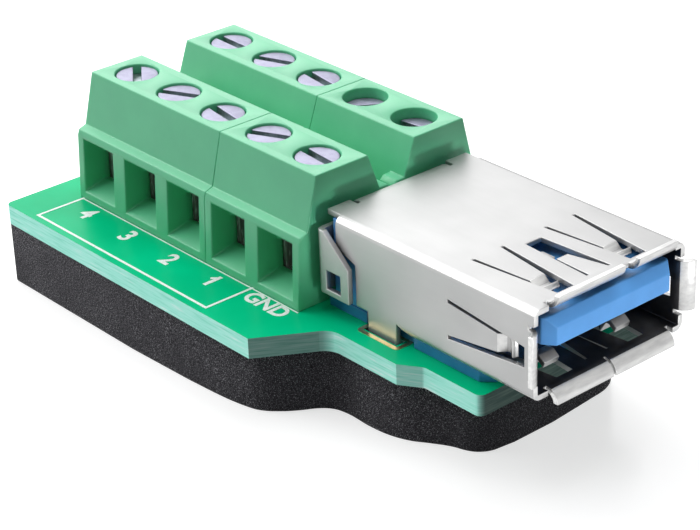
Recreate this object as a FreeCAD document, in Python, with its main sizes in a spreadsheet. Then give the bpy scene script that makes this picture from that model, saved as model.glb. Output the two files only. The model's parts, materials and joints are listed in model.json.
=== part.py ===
import FreeCAD, Part
import os
import re
import Sketcher

# Adapter board that breaks a USB receptacle out to two rows of screw terminals, on a foam pad.
# Lengths are millimetres. X runs along the board towards the mouth of the receptacle, Y across
# it with the near row at negative Y, and Z up. The origin lies under the middle of the whole
# adapter, at the underside of the pad that it rests on.

doc = FreeCAD.newDocument("terminal_adapter")
sizes = doc.addObject("Spreadsheet::Sheet", "Sizes")

COUNTS = {
    "rear_ways": 3,  # wire entries in the rear block of a row
    "front_ways": 2,  # wire entries in the front block of a row
    "flat_contacts": 5,  # flat contacts in the tongue
}

LENGTHS = {
    "pitch": 5.0,  # distance between two wire entries
    "row_setback": 2.85,  # board behind the terminal rows
    "receptacle_gap": 0.5,  # room between the rows and the receptacle
    "shell_length": 19.9,  # receptacle, from its rear flap to its flared lips
    "mouth_overhang": 4.25,  # lips in front of the board
    "board_width": 26.3,  # board width
    "board_thickness": 1.5,  # board thickness
    "foam_thickness": 4.8,  # foam pad thickness
    "shoulder_lead": 0.4,  # shoulder of the board in front of the rows
    "shoulder_slant": 2.9,  # slant of the board behind its neck
    "neck_margin": 1.8,  # board beside the receptacle at its neck
    "nose_margin": 0.8,  # board beside the receptacle at its nose
    "nose_length": 5.05,  # nose of the board
    "nose_slant": 1.55,  # slant between neck and nose
    "neck_round": 1.5,  # rounding in the board's neck
    "corner_round": 0.5,  # rounding of the board's corners
    "foam_inset": 0.05,  # pad inside the edge of the board
    "foam_setback": 1.95,  # pad inside the board's nose
    "foam_narrowing": 0.9,  # pad narrowing towards its shoulder
    "foam_nose_near": 5.1,  # half width of the pad at its front corner, near side
    "foam_nose_far": 7.0,  # half width of the pad at its front corner, far side
    "foam_nose_bevel": 0.5,  # front corners of the pad behind its front
    "foam_front_near": 3.0,  # straight front of the pad, to the near side
    "foam_front_far": 1.0,  # straight front of the pad, to the far side
    "foam_shoulder_back": 1.6,  # pad's shoulder behind the board's
    "foam_neck_back": 0.85,  # pad's neck behind the board's
    "foam_neck_margin": 0.5,  # pad inside the board's neck
    "foam_neck_length": 3.2,  # pad's neck in front of the board's
    "foam_round": 1.6,  # rounding of the pad
    "block_reach": 8.5,  # block, from the middle of the board to its front
    "block_lean": 0.25,  # lean of the block's front
    "ledge_lean": 0.4,  # lean of the block's front at the ledge
    "ledge_height": 5.1,  # height of the block's front ledge
    "ledge_depth": 0.75,  # depth of the ledge
    "ledge_rise": 0.4,  # rise of the ledge
    "block_height": 9.3,  # block height
    "top_outer": 6.56,  # outer edge of the block's top
    "top_inner": 2.06,  # inner edge of the block's top
    "kink_height": 6.65,  # height of the kink in the inner slope
    "kink_reach": 1.1,  # reach of the kink in the inner slope
    "post_chamfer": 0.35,  # chamfer on top of a post
    "back_height": 3.9,  # height of the block's back wall
    "row_gap": 0.05,  # half the gap between the two rows
    "post_length": 1.4,  # length of a post at a block's end
    "post_height": 6.65,  # height of a post
    "screw_line": 4.33,  # screw axis from the middle of the board
    "head_radius": 1.5,  # head radius
    "head_height": 1.2,  # head height
    "head_recess": 0.15,  # head below the block's top
    "head_clearance": 0.1,  # room around the head in its well
    "shank_radius": 1.2,  # shank radius
    "thread_clearance": 0.07,  # room around the shank in the cage's thread
    "slot_width": 0.6,  # driver slot width
    "slot_depth": 0.55,  # driver slot depth
    "slot_overrun": 0.2,  # driver slot runs past the head's edge
    "tip_clearance": 0.05,  # a tight screw stands this far over the contact bar
    "slack_lift": 0.6,  # a slack screw stands higher by this
    "cage_width": 3.4,  # cage width
    "cage_length": 3.5,  # cage length across the board
    "cage_reach": 6.25,  # cage outer end from the middle of the board
    "cage_height": 4.3,  # cage height
    "cage_wall": 0.4,  # cage sheet
    "nut_height": 1.0,  # threaded top of the cage
    "cage_floor": 0.75,  # cage above the board when it is open
    "cage_travel": 2.15,  # travel of the cage
    "cage_clearance": 0.05,  # room beside the cage in its chamber
    "cage_end_room": 0.15,  # room in front of the cage
    "roof_clearance": 0.1,  # room over the raised cage
    "bar_thickness": 0.5,  # contact bar thickness
    "bar_side_room": 0.1,  # room between bar and cage
    "leg_room": 0.2,  # room between the cage and the contact's leg
    "pin_shoulder": 0.3,  # height of the shoulder of the contact's leg
    "pin_width": 1.0,  # solder pin width
    "pin_reach": 0.8,  # solder pin below the board
    "hole_room": 0.2,  # room around a solder pin in its hole
    "web_thickness": 0.4,  # web between funnel and chamber
    "funnel_width": 3.7,  # funnel width at the front
    "funnel_foot": 0.55,  # funnel foot
    "funnel_head": 4.95,  # funnel head
    "wire_width": 3.1,  # wire hole width
    "wire_sill": 0.1,  # rise of the wire hole over the cage's floor
    "funnel_step": 0.15,  # funnel ceiling over the wire hole
    "shell_width": 13.4,  # shell width
    "shell_height": 6.25,  # shell height
    "shell_sheet": 0.4,  # shell sheet
    "shell_round": 0.6,  # shell corner radius
    "riser_height": 0.8,  # riser height under the shell
    "lip_seam": 0.1,  # half the seam in the lower lip
    "lip_bend": 0.6,  # bend radius of the lips, on their outer side
    "lip_corner_back": 0.5,  # unflared corners of the mouth behind the lips' front
    "lip_notch": 0.3,  # notch beside a lip
    "lip_near": 5.1,  # upper and lower lips, to the near side
    "lip_far": 5.5,  # upper and lower lips, to the far side
    "lip_part_from": 0.75,  # gap in the upper lip, from
    "lip_part_to": 2.0,  # gap in the upper lip, to
    "lip_side_half": 1.75,  # side lips, half length
    "spring_root": 11.9,  # spring root from the rear flap
    "window_length": 6.7,  # length of a spring's window
    "window_root": 1.4,  # half width of a spring window at its root
    "window_tip": 0.7,  # half width of a spring window at its tip
    "spring_half_root": 1.15,  # half width of a spring at its root
    "spring_half_bend": 0.65,  # half width of a spring from its bend to its tip
    "spring_flat": 4.3,  # spring, from its root to its bend
    "spring_fall": 0.1,  # spring's slope before its bend
    "spring_bend": 0.45,  # length of a spring's bend
    "spring_heel": 0.25,  # length of the flat at a spring's lowest place
    "spring_curl": 0.5,  # length of a spring's curled tip
    "spring_curl_rise": 0.4,  # rise of a spring's curled tip
    "bend_shift": 0.15,  # inner corners of a spring's bend behind the outer ones
    "spring_line": 3.2,  # top springs from the middle
    "spring_dip_top": 0.5,  # top springs pressed in by
    "spring_dip_bottom": 0.9,  # bottom springs pressed in by
    "spring_dip_side": 0.6,  # side springs pressed in by
    "side_spring_drop": 0.25,  # side springs below the middle of the wall
    "latch_length": 3.1,  # middle spring length
    "latch_root": 0.85,  # half width of the middle spring at its root
    "latch_tip": 0.5,  # half width of the middle spring at its tip
    "latch_window": 5.6,  # middle window length
    "latch_half": 1.05,  # half width of the middle window at the spring's root
    "latch_window_rear": 0.68,  # half width of the middle window at its rear
    "latch_start": 18.3,  # root of the middle spring from the rear flap
    "latch_dip": 0.2,  # middle spring pressed in by
    "latch_tab_start": 14.0,  # tab beside the middle window, from the rear flap
    "latch_tab_length": 1.1,  # length of the tab
    "latch_tab_reach": 0.5,  # tab's edge from the middle
    "latch_tab_drop": 0.1,  # tab below the shell's top
    "flap_foot": 1.4,  # flap, height of its foot
    "flap_shoulder": 5.95,  # flap, height of its shoulders
    "fold_half": 4.0,  # half width of the flap's fold
    "fold_relief": 0.3,  # relief beside the fold
    "fold_length": 1.2,  # length of the fold along the shell's top
    "wing_room": 0.1,  # room between the wings and the shell
    "wing_length": 3.1,  # wing length
    "wing_front": 2.5,  # height of the wing's front edge
    "wing_slant": 0.7,  # start of the wing's slant
    "wrap_chamfer": 0.13,  # chamfer where the flap turns into a wing
    "wing_hole_start": 0.9,  # square hole in the wing from the flap
    "wing_hole": 1.4,  # square hole in the wing, size
    "wing_hole_rise": 0.4,  # square hole over the wing's foot
    "leg_start": 4.4,  # leg start from the flap
    "leg_width": 2.7,  # leg width along the board
    "leg_reach": 1.1,  # leg below the board
    "leg_taper": 0.5,  # leg tip taper
    "leg_root": 0.3,  # leg above the shell's floor
    "leg_notch": 1.45,  # length of the notch in front of a leg
    "leg_notch_height": 0.6,  # height of the notch beside the leg, over the riser
    "leg_slot_room": 0.2,  # room around a leg in its slot
    "cutout_length": 3.25,  # rear cut-out in the shell's sides, length
    "cutout_height": 4.05,  # rear cut-out height over the riser
    "cutout_slant": 0.65,  # slant of the cut-out
    "cutout_run": 1.95,  # length of the cut-out's slant
    "corner_relief": 1.4,  # relief in the shell's rear top corners, from the flap
    "corner_relief_width": 0.5,  # width of the relief in the rear top corners
    "core_clearance": 0.05,  # insulator inside the shell's sheet
    "core_start": 0.65,  # insulator start from the flap
    "core_foot": 7.0,  # insulator foot length
    "core_length": 10.0,  # insulator length
    "tongue_thickness": 1.84,  # tongue thickness
    "tongue_height": 4.22,  # tongue above the board
    "tongue_margin": 0.7,  # room between the tongue's side and the shell
    "tongue_setback": 0.2,  # tongue behind the lips
    "tongue_corner": 0.8,  # tongue corner chamfer
    "tongue_corner_width": 0.6,  # width of the tongue's corner chamfer
    "tongue_lead": 0.6,  # tongue lead-in
    "strip": 0.25,  # contact strip thickness
    "strip_width": 0.6,  # contact strip width
    "flat_spacing": 2.0,  # flat contacts, spacing
    "flat_tail": 1.2,  # flat contacts, tail from the flap
    "flat_level": 0.78,  # flat contacts, inner height in the tongue
    "flat_pad": 1.9,  # flat contact pad length
    "flat_pad_setback": 0.5,  # flat contact pad behind the tongue's tip
    "sprung_tail": 3.2,  # sprung contacts, tail from the flap
    "sprung_gap": 0.07,  # sprung contacts, gap under the tongue
    "sprung_bow": 0.55,  # sprung contacts, bow
    "sprung_bow_place": 14.6,  # sprung contacts, bow from the flap
    "sprung_inner": 1.0,  # inner sprung contacts from the middle
    "sprung_outer": 3.5,  # outer sprung contacts from the middle
    "tail_room": 0.1,  # room around a tail in its slot
    "riser_inset": 0.4,  # riser inside the shell's side
    "riser_start": 0.1,  # riser start from the flap
    "riser_length": 15.0,  # riser length
    "riser_relief": 0.45,  # riser relief beside the legs
    "riser_relief_room": 0.6,  # riser relief behind and in front of the legs
    "riser_corner": 0.8,  # riser front corner chamfer
    "riser_wall": 0.4,  # riser wall around the tails
    "dent_room": 0.4,  # dent in the pad around what comes through
    "dent_depth_room": 0.2,  # dent below what comes through
}

for row, (alias, number) in enumerate({**COUNTS, **LENGTHS}.items(), start=1):
    sizes.set(f"A{row}", alias.replace("_", " "))
    sizes.set(f"B{row}", str(number))
    sizes.setAlias(f"B{row}", alias)
doc.recompute()

# Places that several pieces share, written in the sheet's own words.
ROW_LENGTH = "(rear_ways + front_ways) * pitch"
WHOLE_LENGTH = f"(row_setback + {ROW_LENGTH} + receptacle_gap + shell_length)"
BOARD_LENGTH = f"({WHOLE_LENGTH} - mouth_overhang)"
REAR = f"(-{WHOLE_LENGTH} / 2)"
BOARD_TOP = "(foam_thickness + board_thickness)"
RECEPTACLE_START = f"(row_setback + {ROW_LENGTH} + receptacle_gap)"
SHELL_HALF = "(shell_width / 2)"
SHELL_TOP = "(riser_height + shell_height)"
SHELL_INNER_FLOOR = "(riser_height + shell_sheet)"
CAGE_CEILING = "(cage_floor + cage_height - nut_height)"
BAR_TOP = f"({CAGE_CEILING} - tip_clearance)"
BAR_UNDERSIDE = f"({BAR_TOP} - bar_thickness)"
CHAMBER_ROOF = "(cage_floor + cage_height + cage_travel + roof_clearance)"
CHAMBER_REACH = "(cage_reach + cage_end_room)"
WEB_REACH = f"({CHAMBER_REACH} + web_thickness)"
LEG_FRONT = "(cage_reach - cage_length - leg_room)"
LEG_BACK = f"({LEG_FRONT} - bar_thickness)"
CHAMBER_BACK = f"({LEG_BACK} - cage_clearance)"
PIN_LINE = f"({LEG_FRONT} - bar_thickness / 2)"
FACING_FAR = 180


def tied(text):
    """The text of an expression, with every size read from the sheet."""
    return re.sub(r"[a-z_]{3,}", lambda word: "Sizes." + word.group(), str(text))


def measure(text):
    """The number that an expression of the sheet's sizes comes to."""
    return float(sizes.evalExpression(tied(text)))


def bind(thing, name, text):
    """Tie one property of an object to the sheet."""
    thing.setExpression(name, tied(text))


def seat(thing, along, across, up, turn=0):
    """Place a finished piece, turned about the upright axis."""
    upright = FreeCAD.Vector(0, 0, 1)
    thing.Placement = FreeCAD.Placement(FreeCAD.Vector(), FreeCAD.Rotation(upright, turn))
    bind(thing, "Placement.Base.x", along)
    bind(thing, "Placement.Base.y", across)
    bind(thing, "Placement.Base.z", up)


def dimension(sketch, geometry, point, across, up):
    """Fix one point of a sketch by its two distances from the sketch's origin."""
    for kind, text in (("DistanceX", across), ("DistanceY", up)):
        limit = Sketcher.Constraint(kind, -1, 1, geometry, point, measure(text))
        place = sketch.addConstraint(limit)
        bind(sketch, f"Constraints[{place}]", text)


def outline(sketch, corners):
    """Draw a closed outline of straight lines, each corner given as two expressions."""
    points = [FreeCAD.Vector(measure(across), measure(up), 0) for across, up in corners]
    first = sketch.GeometryCount
    count = len(points)
    for number in range(count):
        line = Part.LineSegment(points[number], points[(number + 1) % count])
        sketch.addGeometry(line, False)
    for number in range(count):
        following = first + (number + 1) % count
        sketch.addConstraint(Sketcher.Constraint("Coincident", first + number, 2, following, 1))
    for number, (across, up) in enumerate(corners):
        dimension(sketch, first + number, 1, across, up)


def oblong(sketch, left, bottom, right, top):
    """Draw a rectangle from its four sides."""
    outline(sketch, [(left, bottom), (right, bottom), (right, top), (left, top)])


def ring(sketch, across, up, radius):
    """Draw a circle."""
    centre = FreeCAD.Vector(measure(across), measure(up), 0)
    circle = Part.Circle(centre, FreeCAD.Vector(0, 0, 1), measure(radius))
    geometry = sketch.addGeometry(circle, False)
    dimension(sketch, geometry, 3, across, up)
    place = sketch.addConstraint(Sketcher.Constraint("Radius", geometry, measure(radius)))
    bind(sketch, f"Constraints[{place}]", radius)


def origin_of(body, role):
    """One of the body's own origin planes or axes."""
    return next(item for item in body.Origin.OriginFeatures if item.Role == role)


def body_sketch(body, name, role, offset="0"):
    """A sketch on one of the body's own planes, moved along the plane's normal."""
    sketch = body.newObject("Sketcher::SketchObject", name)
    sketch.AttachmentSupport = [(origin_of(body, role), "")]
    sketch.MapMode = "FlatFace"
    bind(sketch, "AttachmentOffset.Base.z", offset)
    return sketch


def pad(body, sketch, length):
    """Raise a sketch of the body into a solid."""
    feature = body.newObject("PartDesign::Pad", sketch.Name + "_pad")
    feature.Profile = sketch
    bind(feature, "Length", length)
    sketch.Visibility = False
    return feature


def pocket(body, sketch, depth, upwards=False):
    """Sink a sketch of the body, against its normal unless it runs upwards."""
    before = body.Shape.Volume
    feature = body.newObject("PartDesign::Pocket", sketch.Name + "_pocket")
    feature.Profile = sketch
    feature.Reversed = upwards
    bind(feature, "Length", depth)
    doc.recompute()
    if body.Shape.Volume >= before:
        raise RuntimeError(f"{feature.Label} removes nothing")
    return feature


def upright_edges(shape, spots):
    """Names of the upright edges of a shape that stand at the given spots."""
    wanted = [FreeCAD.Vector(measure(along), measure(across), 0) for along, across in spots]
    names = []
    for number, edge in enumerate(shape.Edges, start=1):
        foot, head = edge.Vertexes[0].Point, edge.Vertexes[-1].Point
        foot, head = FreeCAD.Vector(foot.x, foot.y, 0), FreeCAD.Vector(head.x, head.y, 0)
        if foot.isEqual(head, 1e-6) and any(foot.isEqual(spot, 1e-3) for spot in wanted):
            names.append(f"Edge{number}")
    return names


def rounded(body, base, edges, radius):
    """Round edges of the body's last feature."""
    feature = body.newObject("PartDesign::Fillet", base.Name + "_round")
    feature.Base = (base, edges)
    bind(feature, "Radius", radius)
    doc.recompute()
    return feature


PLANES = {
    "XY": (FreeCAD.Rotation(), "z"),
    "XZ": (FreeCAD.Rotation(FreeCAD.Vector(1, 0, 0), 90), "y"),
    "YZ": (FreeCAD.Rotation(FreeCAD.Vector(1, 1, 1), 120), "x"),
}


def slab(name, plane, corners, low, high):
    """An outline in one plane, made solid between two heights on the third axis."""
    turn, axis = PLANES[plane]
    sketch = doc.addObject("Sketcher::SketchObject", name + "_outline")
    sketch.Placement = FreeCAD.Placement(FreeCAD.Vector(), turn)
    bind(sketch, f"Placement.Base.{axis}", high if plane == "XZ" else low)
    outline(sketch, corners)
    solid = doc.addObject("Part::Extrusion", name)
    solid.Base = sketch
    solid.DirMode = "Normal"
    solid.Solid = True
    bind(solid, "LengthFwd", f"({high}) - ({low})")
    return solid


def block(name, lows, highs):
    """A rectangular solid between two opposite corners."""
    solid = doc.addObject("Part::Box", name)
    for side, axis, low, high in zip(("Length", "Width", "Height"), "xyz", lows, highs):
        bind(solid, side, f"({high}) - ({low})")
        bind(solid, f"Placement.Base.{axis}", low)
    return solid


def joined(name, pieces):
    """Several solids made one."""
    solid = doc.addObject("Part::MultiFuse", name)
    solid.Shapes = pieces
    solid.Refine = True
    return solid


def overlap(name, first, second):
    """What two solids share."""
    solid = doc.addObject("Part::Common", name)
    solid.Base = first
    solid.Tool = second
    return solid


def without(name, base, tools):
    """A solid with other solids taken away."""
    solid = doc.addObject("Part::Cut", name)
    solid.Base = base
    solid.Tool = tools[0] if len(tools) == 1 else joined(name + "_tools", tools)
    solid.Refine = True
    return solid


def mirrored(points):
    """A half outline and its reflection in the X axis, as one closed outline."""
    return points + [(along, f"-({across})") for along, across in reversed(points)]


def way_centre(number):
    """Middle of a wire entry, counted from the rear of its row."""
    return f"(row_setback + pitch * ({number} - 0.5))"


pieces = []
WAYS = range(1, int(measure("rear_ways + front_ways")) + 1)

# Board: glass-epoxy sheet cut to shape, with round holes for the terminals' pins and slots for
# the receptacle's flat tails and legs.

board = doc.addObject("PartDesign::Body", "circuit_board")
NECK_HALF = f"({SHELL_HALF} + neck_margin)"
NOSE_HALF = f"({SHELL_HALF} + nose_margin)"
SHOULDER = f"(row_setback + {ROW_LENGTH} + shoulder_lead)"
NECK = f"({SHOULDER} + shoulder_slant)"
NOSE = f"({BOARD_LENGTH} - nose_length)"
board_half = [
    ("0", "-board_width / 2"),
    (SHOULDER, "-board_width / 2"),
    (NECK, f"-{NECK_HALF}"),
    (f"{NOSE} - nose_slant", f"-{NECK_HALF}"),
    (NOSE, f"-{NOSE_HALF}"),
    (BOARD_LENGTH, f"-{NOSE_HALF}"),
]
board_outline = body_sketch(board, "board_outline", "XY_Plane")
outline(board_outline, mirrored(board_half))
board_pad = pad(board, board_outline, "board_thickness")
doc.recompute()
neck_spots = [(NECK, f"-{NECK_HALF}"), (NECK, NECK_HALF)]
board_neck = rounded(board, board_pad, upright_edges(board.Shape, neck_spots), "neck_round")
corner_spots = [
    (along, sign + half)
    for along, half in (("0", "board_width / 2"), (BOARD_LENGTH, NOSE_HALF), (NOSE, NOSE_HALF))
    for sign in ("-", "")
]
rounded(board, board_neck, upright_edges(board.Shape, corner_spots), "corner_round")

sprung_places = ["-sprung_outer", "-sprung_inner", "sprung_inner", "sprung_outer"]
FLAT_REACH = "(flat_spacing * (flat_contacts - 1) / 2)"
flat_places = [
    f"flat_spacing * {number} - {FLAT_REACH}" for number in range(int(measure("flat_contacts")))
]
tails = [("flat_tail", across) for across in flat_places]
tails += [("sprung_tail", across) for across in sprung_places]
board_holes = body_sketch(board, "board_holes", "XY_Plane", "board_thickness")
for number in WAYS:
    for side in ("-", ""):
        ring(board_holes, way_centre(number), side + PIN_LINE, "pin_width / 2 + hole_room")
for tail, across in tails:
    tail_line = f"{RECEPTACLE_START} + {tail}"
    oblong(board_holes, f"{tail_line} - strip / 2 - tail_room",
           f"{across} - strip_width / 2 - tail_room",
           f"{tail_line} + strip / 2 + tail_room",
           f"{across} + strip_width / 2 + tail_room")
LEG_FROM = f"({RECEPTACLE_START} + leg_start - leg_slot_room)"
LEG_TO = f"({RECEPTACLE_START} + leg_start + leg_width + leg_slot_room)"
LEG_INSIDE = f"({SHELL_HALF} - shell_sheet - leg_slot_room)"
LEG_OUTSIDE = f"({SHELL_HALF} + leg_slot_room)"
oblong(board_holes, LEG_FROM, LEG_INSIDE, LEG_TO, LEG_OUTSIDE)
oblong(board_holes, LEG_FROM, f"-{LEG_OUTSIDE}", LEG_TO, f"-{LEG_INSIDE}")
pocket(board, board_holes, "board_thickness")
seat(board, REAR, "0", "foam_thickness")
pieces.append(board)

# Foam pad: soft sheet stuck under the board, cut a little narrower at the shoulder and with a
# round-cornered nose. It has given way around the pins that come through the board.

foam = doc.addObject("PartDesign::Body", "foam_pad")
FOAM_HALF = "(board_width / 2 - foam_inset)"
FOAM_FRONT = f"({BOARD_LENGTH} - foam_setback)"
FOAM_NECK_HALF = f"({NECK_HALF} - foam_neck_margin)"
FOAM_SHOULDER_HALF = f"({FOAM_HALF} - foam_narrowing)"
foam_side = [
    ("foam_inset", FOAM_HALF),
    (f"row_setback + {ROW_LENGTH} / 2", FOAM_HALF),
    (f"{SHOULDER} - foam_shoulder_back", FOAM_SHOULDER_HALF),
    (f"{NECK} - foam_neck_back", FOAM_NECK_HALF),
    (f"{NECK} + foam_neck_length", FOAM_NECK_HALF),
]
foam_nose = [
    (f"{FOAM_FRONT} - foam_nose_bevel", "-foam_nose_near"),
    (FOAM_FRONT, "-foam_front_near"),
    (FOAM_FRONT, "foam_front_far"),
    (f"{FOAM_FRONT} - foam_nose_bevel", "foam_nose_far"),
]
foam_corners = [(along, f"-{across}") for along, across in foam_side]
foam_corners += foam_nose + list(reversed(foam_side))
foam_outline = body_sketch(foam, "foam_outline", "XY_Plane")
outline(foam_outline, foam_corners)
foam_pad = pad(foam, foam_outline, "foam_thickness")
doc.recompute()
foam_bends = [(along, sign + across) for along, across in foam_side[2:4] for sign in ("-", "")]
rounded(foam, foam_pad, upright_edges(foam.Shape, foam_bends), "foam_round")

foam_dents = body_sketch(foam, "foam_dents", "XY_Plane", "foam_thickness")
DENT_HALF = "(pin_width / 2 + dent_room)"
for number in WAYS:
    for side in ("-", ""):
        left = f"{way_centre(number)} - {DENT_HALF}"
        right = f"{way_centre(number)} + {DENT_HALF}"
        bottom = f"{side}{PIN_LINE} - {DENT_HALF}"
        oblong(foam_dents, left, bottom, right, f"{side}{PIN_LINE} + {DENT_HALF}")
TAIL_DENT_REAR = f"{RECEPTACLE_START} + flat_tail - strip - dent_room"
TAIL_DENT_FRONT = f"{RECEPTACLE_START} + sprung_tail + strip + dent_room"
TAIL_DENT_HALF = f"({FLAT_REACH} + strip_width / 2 + dent_room)"
oblong(foam_dents, TAIL_DENT_REAR, f"-{TAIL_DENT_HALF}", TAIL_DENT_FRONT, TAIL_DENT_HALF)
oblong(foam_dents, LEG_FROM, LEG_INSIDE, LEG_TO, LEG_OUTSIDE)
oblong(foam_dents, LEG_FROM, f"-{LEG_OUTSIDE}", LEG_TO, f"-{LEG_INSIDE}")
pocket(foam, foam_dents, "leg_reach + dent_depth_room")
seat(foam, REAR, "0", "0")
pieces.append(foam)


# Terminal housings: green plastic mouldings. Each wire entry has a flared funnel in front, a
# chamber for the clamp cage and a round well for the screw. They stand back to back.

def terminal_housing(name, ways, start, far):
    housing = doc.addObject("PartDesign::Body", name)
    length = f"({ways} * pitch)"
    profile = body_sketch(housing, name + "_profile", "YZ_Plane")
    outline(profile, [
        ("-row_gap", "0"),
        ("-block_reach", "0"),
        ("-(block_reach - block_lean)", "ledge_height - ledge_rise / 2"),
        ("-(block_reach - ledge_lean)", "ledge_height + ledge_rise / 2"),
        ("-(block_reach - block_lean - ledge_depth)", "ledge_height + ledge_rise"),
        ("-top_outer", "block_height"),
        ("-top_inner", "block_height"),
        ("-kink_reach", "kink_height"),
        ("-row_gap", "back_height"),
    ])
    pad(housing, profile, length)

    post = body_sketch(housing, name + "_post", "YZ_Plane")
    outline(post, [
        ("-row_gap", "back_height / 2"),
        ("-kink_reach", "back_height / 2"),
        ("-kink_reach", "post_height"),
        ("-(post_chamfer + row_gap)", "post_height"),
        ("-row_gap", "post_height - post_chamfer"),
    ])
    post_pad = pad(housing, post, "post_length")
    doc.recompute()
    posts = housing.newObject("PartDesign::LinearPattern", name + "_posts")
    posts.Originals = [post_pad]
    posts.Direction = (origin_of(housing, "X_Axis"), [""])
    posts.Mode = "Spacing"
    bind(posts, "Offset", f"{length} - post_length")
    posts.Occurrences = 2
    housing.Tip = posts
    doc.recompute()

    well = body_sketch(housing, name + "_well", "XY_Plane", "block_height")
    ring(well, "pitch / 2", "-screw_line", "head_radius + head_clearance")
    well_pocket = pocket(housing, well, f"block_height - {CHAMBER_ROOF}")
    chamber = body_sketch(housing, name + "_chamber", "XY_Plane")
    half = "(cage_width / 2 + cage_clearance)"
    oblong(chamber, f"pitch / 2 - {half}", f"-{CHAMBER_REACH}", f"pitch / 2 + {half}",
           f"-{CHAMBER_BACK}")
    chamber_pocket = pocket(housing, chamber, CHAMBER_ROOF, upwards=True)

    hole_foot = "(cage_floor + cage_wall + wire_sill)"
    mouth = body_sketch(housing, name + "_mouth", "XZ_Plane", "block_reach")
    oblong(mouth, "(pitch - funnel_width) / 2", "funnel_foot",
           "(pitch + funnel_width) / 2", "funnel_head")
    throat = body_sketch(housing, name + "_throat", "XZ_Plane", WEB_REACH)
    oblong(throat, "(pitch - wire_width) / 2", hole_foot,
           "(pitch + wire_width) / 2", f"{BAR_UNDERSIDE} + funnel_step")
    funnel = housing.newObject("PartDesign::SubtractiveLoft", name + "_funnel")
    funnel.Profile = mouth
    funnel.Sections = [throat]
    funnel.Ruled = True
    doc.recompute()
    wire_hole = body_sketch(housing, name + "_wire_hole", "XZ_Plane", WEB_REACH)
    oblong(wire_hole, "(pitch - wire_width) / 2", hole_foot,
           "(pitch + wire_width) / 2", f"{BAR_UNDERSIDE} - cage_clearance")
    hole_pocket = pocket(housing, wire_hole, "web_thickness + cage_end_room")
    bar_slot = body_sketch(housing, name + "_bar_slot", "XZ_Plane", WEB_REACH)
    slot_half = "(cage_width / 2 - cage_wall - bar_side_room + cage_clearance)"
    oblong(bar_slot, f"pitch / 2 - {slot_half}", f"{BAR_UNDERSIDE} - cage_clearance",
           f"pitch / 2 + {slot_half}", f"{BAR_TOP} + cage_clearance")
    slot_pocket = pocket(housing, bar_slot, "web_thickness + cage_end_room")

    entries = housing.newObject("PartDesign::LinearPattern", name + "_entries")
    entries.Originals = [well_pocket, chamber_pocket, funnel, hole_pocket, slot_pocket]
    entries.Direction = (origin_of(housing, "X_Axis"), [""])
    entries.Mode = "Spacing"
    bind(entries, "Offset", "pitch")
    bind(entries, "Occurrences", ways)
    housing.Tip = entries
    doc.recompute()
    along = f"{REAR} + row_setback + {start}"
    if far:
        seat(housing, f"{along} + {length}", "0", BOARD_TOP, FACING_FAR)
    else:
        seat(housing, along, "0", BOARD_TOP)
    pieces.append(housing)


for side, far in (("near", False), ("far", True)):
    terminal_housing(f"{side}_rear_terminal_housing", "rear_ways", "0", far)
    terminal_housing(f"{side}_front_terminal_housing", "front_ways", "rear_ways * pitch", far)


# Clamp screws: turned steel with a slotted cheese head. Each was left at its own angle, and a
# tight one sits lower than a slack one.

def clamp_screw(name):
    screw = doc.addObject("PartDesign::Body", name)
    top = "(block_height - head_recess)"
    tip = f"({BAR_TOP} + tip_clearance + slack_lift)"
    profile = body_sketch(screw, name + "_profile", "XZ_Plane")
    outline(profile, [
        ("0", tip),
        ("shank_radius", tip),
        ("shank_radius", f"{top} - head_height"),
        ("head_radius", f"{top} - head_height"),
        ("head_radius", top),
        ("0", top),
    ])
    turned = screw.newObject("PartDesign::Revolution", name + "_turned")
    turned.Profile = profile
    turned.ReferenceAxis = (profile, ["V_Axis"])
    turned.Angle = 360
    doc.recompute()
    slot = body_sketch(screw, name + "_slot", "XY_Plane", top)
    oblong(slot, "-(head_radius + slot_overrun)", "-slot_width / 2",
           "head_radius + slot_overrun", "slot_width / 2")
    pocket(screw, slot, "slot_depth")
    return screw


# Clamp cages: folded steel boxes, open at both ends for the wire, with a threaded top. Turning
# the screw home lifts the cage and presses the wire against the contact bar.

def clamp_cage(name):
    inner = "(cage_width / 2 - cage_wall)"
    outer = block(name + "_outside",
                  ("-cage_width / 2", "-cage_reach", "cage_floor"),
                  ("cage_width / 2", "cage_length - cage_reach", "cage_floor + cage_height"))
    hollow = block(name + "_hollow",
                   (f"-{inner}", "-cage_reach - cage_wall", "cage_floor + cage_wall"),
                   (inner, "cage_length - cage_reach + cage_wall", CAGE_CEILING))
    thread = doc.addObject("Part::Cylinder", name + "_thread")
    bind(thread, "Radius", "shank_radius + thread_clearance")
    bind(thread, "Height", "nut_height * 2")
    bind(thread, "Placement.Base.y", "-screw_line")
    bind(thread, "Placement.Base.z", f"{CAGE_CEILING} - nut_height / 2")
    return without(name, outer, [hollow, thread])


# Solder contacts: tinned strip. A flat bar crosses the cage for the wire to be clamped against,
# and a leg behind the cage narrows to the pin that is soldered into the board.

def solder_contact(name):
    half = "(cage_width / 2 - cage_wall - bar_side_room)"
    reach = f"({WEB_REACH} - cage_clearance)"
    bar = slab(name + "_bar", "YZ", [
        (f"-{LEG_BACK}", "pin_shoulder"),
        (f"-{LEG_BACK}", BAR_TOP),
        (f"-{reach}", BAR_TOP),
        (f"-{reach}", BAR_UNDERSIDE),
        (f"-{LEG_FRONT}", BAR_UNDERSIDE),
        (f"-{LEG_FRONT}", "pin_shoulder"),
    ], f"-{half}", half)
    pin = block(name + "_pin",
                ("-pin_width / 2", f"-{LEG_FRONT}", "-board_thickness - pin_reach"),
                ("pin_width / 2", f"-{LEG_BACK}", "pin_shoulder"))
    return joined(name, [bar, pin])


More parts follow.
